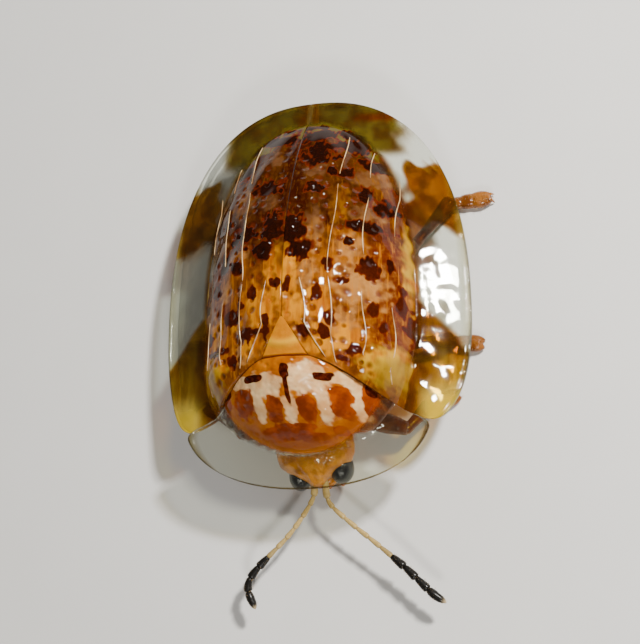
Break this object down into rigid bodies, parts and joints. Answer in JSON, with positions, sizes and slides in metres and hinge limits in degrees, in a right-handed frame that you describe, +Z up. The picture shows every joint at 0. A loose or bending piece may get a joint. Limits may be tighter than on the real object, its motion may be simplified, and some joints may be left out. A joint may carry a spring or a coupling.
{
  "type": "tortoise beetle",
  "caption": "Life-size still tortoise beetle: domed shell with a wide clear margin over body, head and legs, feelers held forward.",
  "frame": {"origin": "on the floor, under the middle of the model's box", "axes": "+Z up, -Y to the head, +Y to the tail, +X to the beetle's own left"},
  "size_m": [0.0076, 0.0114, 0.0036],
  "materials": {
    "wing_case": "glossy amber horn with dark brown mottling, pale ridges, a yellow middle line and a clear glassy margin with two amber bars a side",
    "pronotum": "glossy cream and orange plate with a row of brown spots at its base and a clear glassy margin",
    "scutellum": "glossy yellow-orange",
    "underside": "satin red-brown, darker along the middle",
    "head": "satin orange-brown",
    "eye": "glossy black with fine facets",
    "feeler": "pale straw, the last four joints black and finely haired",
    "leg": "glossy coppery brown"
  },
  "bodies": {
    "root": {"wing_case_left": "wing_case", "wing_case_right": "wing_case", "pronotum": "pronotum", "scutellum": "scutellum", "prothorax": "underside", "thorax": "underside", "abdomen": "underside", "head": "head", "eye_left": "eye", "eye_right": "eye", "feeler_left": "feeler", "feeler_right": "feeler", "leg_front_left_thigh": "leg", "leg_front_left_shin": "leg", "leg_front_left_foot": "leg", "leg_front_right_thigh": "leg", "leg_front_right_shin": "leg", "leg_front_right_foot": "leg", "leg_middle_left_thigh": "leg", "leg_middle_left_shin": "leg", "leg_middle_left_foot": "leg", "leg_middle_right_thigh": "leg", "leg_middle_right_shin": "leg", "leg_middle_right_foot": "leg", "leg_hind_left_thigh": "leg", "leg_hind_left_shin": "leg", "leg_hind_left_foot": "leg", "leg_hind_right_thigh": "leg", "leg_hind_right_shin": "leg", "leg_hind_right_foot": "leg"}
  },
  "joints": []
}
